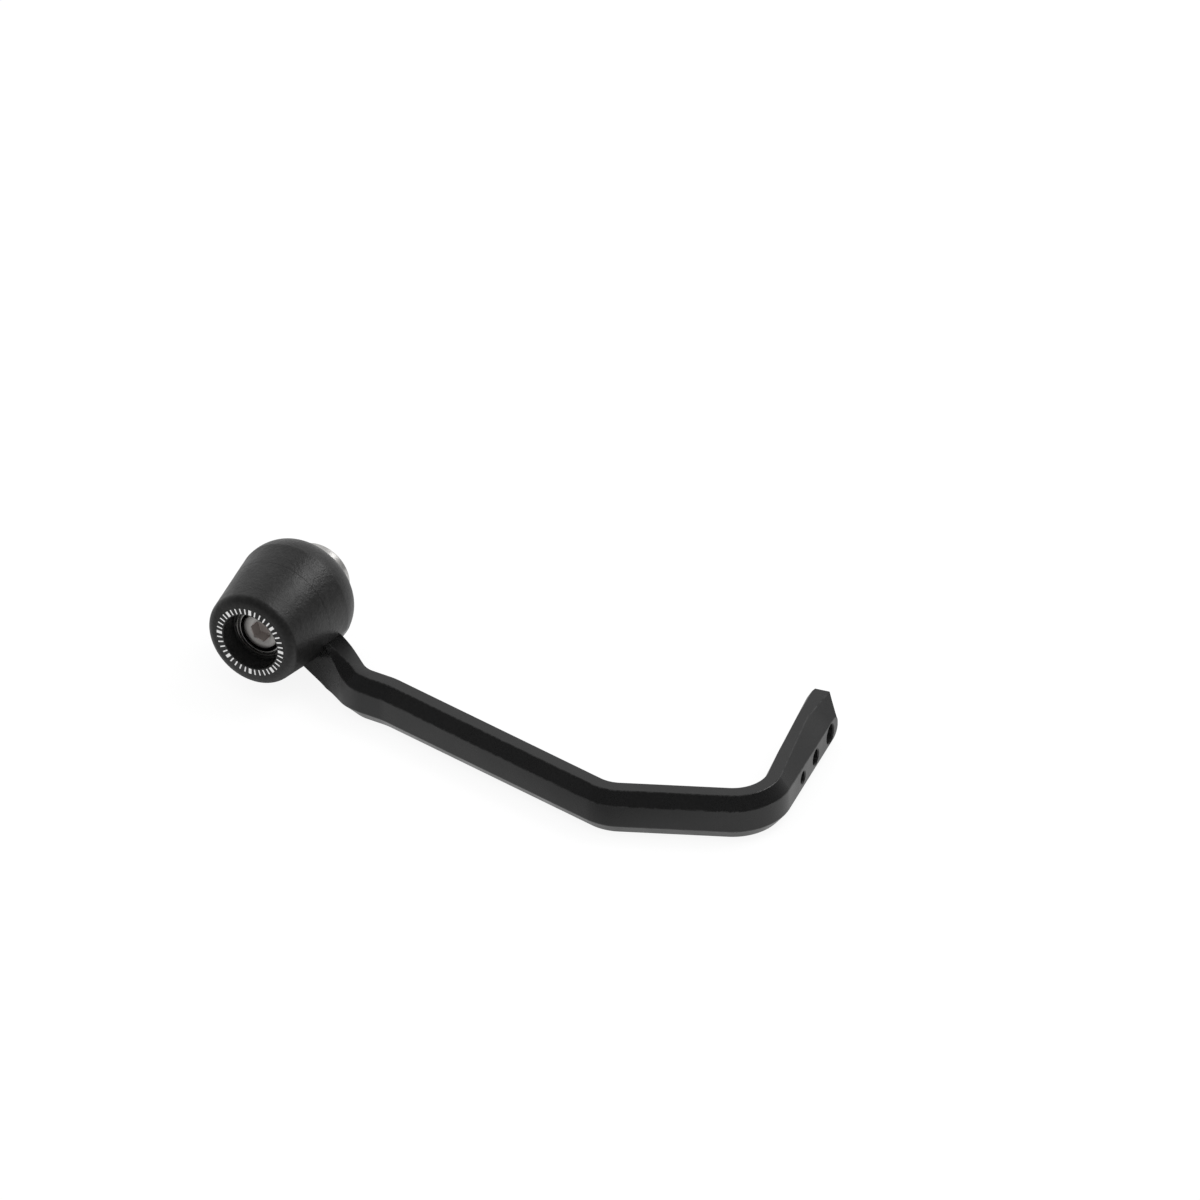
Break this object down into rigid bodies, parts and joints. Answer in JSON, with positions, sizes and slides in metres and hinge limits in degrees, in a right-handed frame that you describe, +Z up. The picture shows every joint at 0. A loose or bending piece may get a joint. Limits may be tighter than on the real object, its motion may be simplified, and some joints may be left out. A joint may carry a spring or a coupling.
{
  "type": "brake lever guard",
  "caption": "Motorcycle brake lever guard: a split black nylon bar-end bobbin carries a bent, chamfered metal blade whose drilled tip turns in ahead of the lever.",
  "frame": {"origin": "on the handlebar axis, in the collar face that sits on the handlebar end", "axes": "+X outwards along the handlebar to the rider's right, +Y forwards, +Z up"},
  "size_m": [0.0666, 0.1582, 0.0327],
  "materials": {
    "nylon": "fine grained matte",
    "anodised": "satin black anodised",
    "turned_steel": "fine turned",
    "spring_steel": "stamped",
    "screw_steel": "bright"
  },
  "bodies": {
    "root": {"bobbin_outer": "nylon", "bobbin_inner": "nylon", "guard_blade": "anodised", "core_sleeve": "turned_steel", "retaining_ring": "spring_steel", "cap_screw": "screw_steel", "screw_washer": "screw_steel"}
  },
  "joints": []
}
